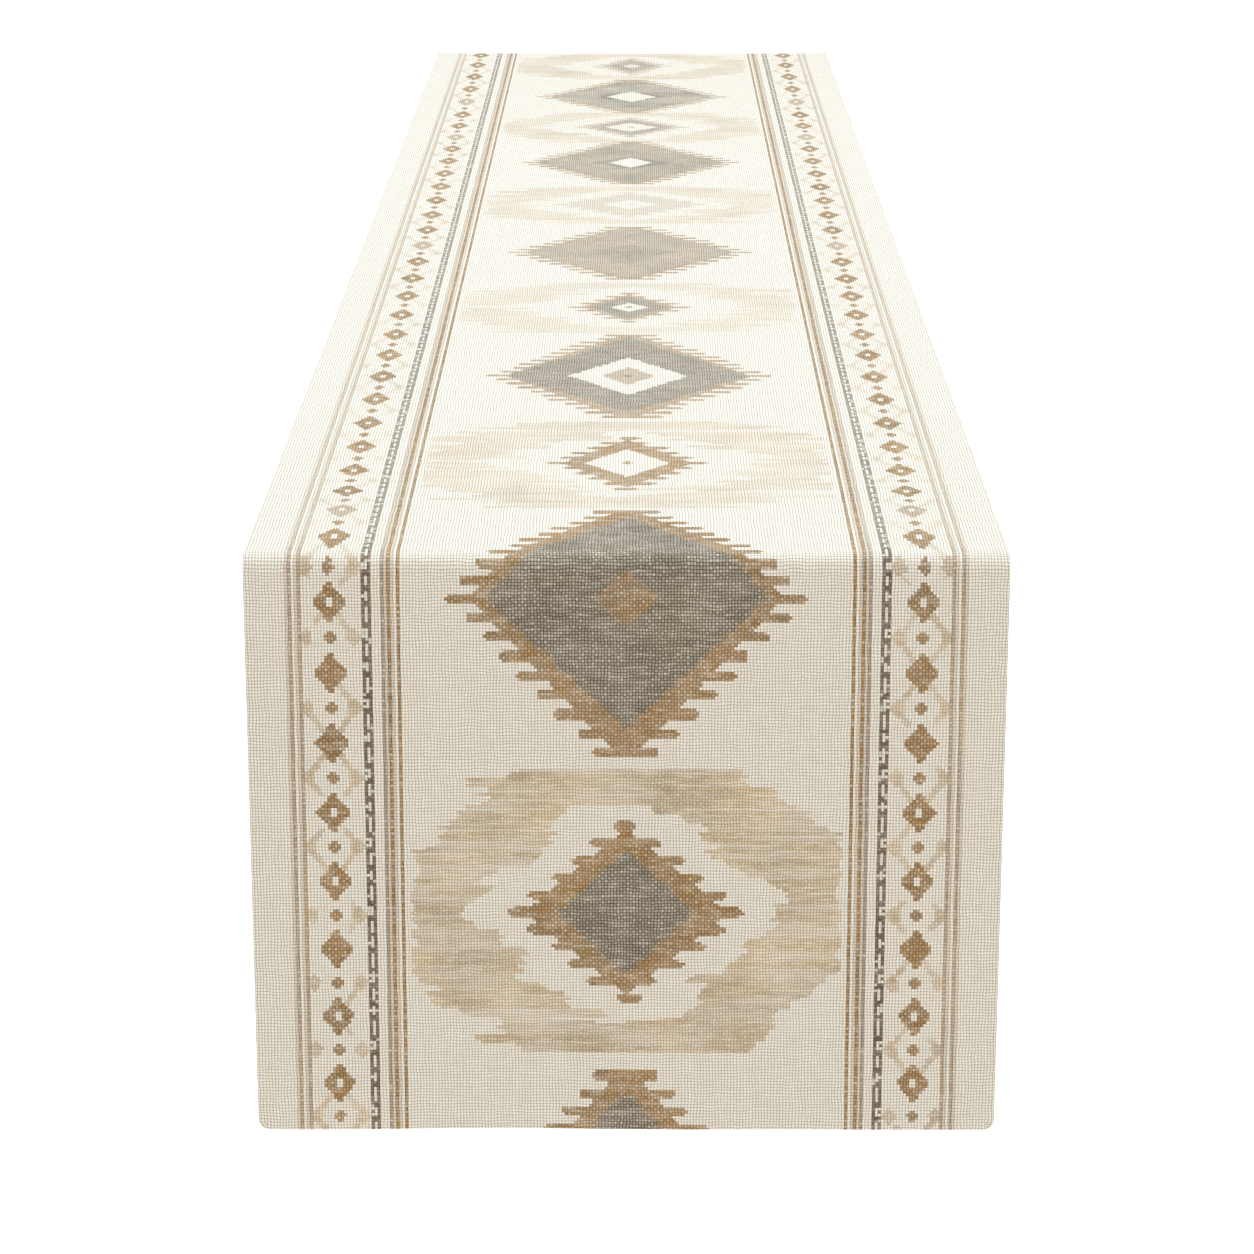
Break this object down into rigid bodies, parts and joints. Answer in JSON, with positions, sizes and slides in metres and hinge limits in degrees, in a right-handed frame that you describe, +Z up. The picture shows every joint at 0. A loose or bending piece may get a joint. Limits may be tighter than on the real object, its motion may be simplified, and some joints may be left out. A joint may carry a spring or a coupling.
{
  "type": "table runner",
  "caption": "Lined cloth table runner with woven diamond pattern, lying along a table with a hanging end over each end of it.",
  "frame": {"origin": "middle of the runner's underside, on the table top", "axes": "+Y along the runner towards its far end, +X across it to the right, +Z up out of the table top"},
  "size_m": [0.305, 1.3828, 0.2441],
  "materials": {
    "face_cloth": "woven slub cotton, patterned, matt",
    "lining": "plain woven cotton, matt",
    "thread": "spun sewing thread, slight sheen"
  },
  "bodies": {
    "top": {"face_cloth_top": "face_cloth", "lining_top": "lining", "left_turning_top": "face_cloth", "right_turning_top": "face_cloth", "left_stitch_top": "thread", "right_stitch_top": "thread", "face_cloth_near_bend": "face_cloth", "lining_near_bend": "lining", "left_turning_near_bend": "face_cloth", "right_turning_near_bend": "face_cloth", "left_stitch_near_bend": "thread", "right_stitch_near_bend": "thread", "face_cloth_far_bend": "face_cloth", "lining_far_bend": "lining", "left_turning_far_bend": "face_cloth", "right_turning_far_bend": "face_cloth", "left_stitch_far_bend": "thread", "right_stitch_far_bend": "thread"},
    "near_drop": {"face_cloth_near_drop": "face_cloth", "lining_near_drop": "lining", "left_turning_near_drop": "face_cloth", "right_turning_near_drop": "face_cloth", "hem_turning_near_drop": "face_cloth", "left_stitch_near_drop": "thread", "right_stitch_near_drop": "thread", "hem_stitch_near_drop": "thread"},
    "far_drop": {"face_cloth_far_drop": "face_cloth", "lining_far_drop": "lining", "left_turning_far_drop": "face_cloth", "right_turning_far_drop": "face_cloth", "hem_turning_far_drop": "face_cloth", "left_stitch_far_drop": "thread", "right_stitch_far_drop": "thread", "hem_stitch_far_drop": "thread"}
  },
  "joints": [
    {"name": "near_drop_bend", "type": "hinge", "parent": "top", "child": "near_drop", "pos_m": [0, -0.67212, -0.00005], "axis": [-1, 0, 0], "range_deg": [0, 86], "deforming": ["face_cloth_near_bend", "lining_near_bend", "left_turning_near_bend", "right_turning_near_bend", "left_stitch_near_bend", "right_stitch_near_bend"]},
    {"name": "far_drop_bend", "type": "hinge", "parent": "top", "child": "far_drop", "pos_m": [0, 0.67212, -0.00005], "axis": [1, 0, 0], "range_deg": [0, 86], "deforming": ["face_cloth_far_bend", "lining_far_bend", "left_turning_far_bend", "right_turning_far_bend", "left_stitch_far_bend", "right_stitch_far_bend"]}
  ]
}
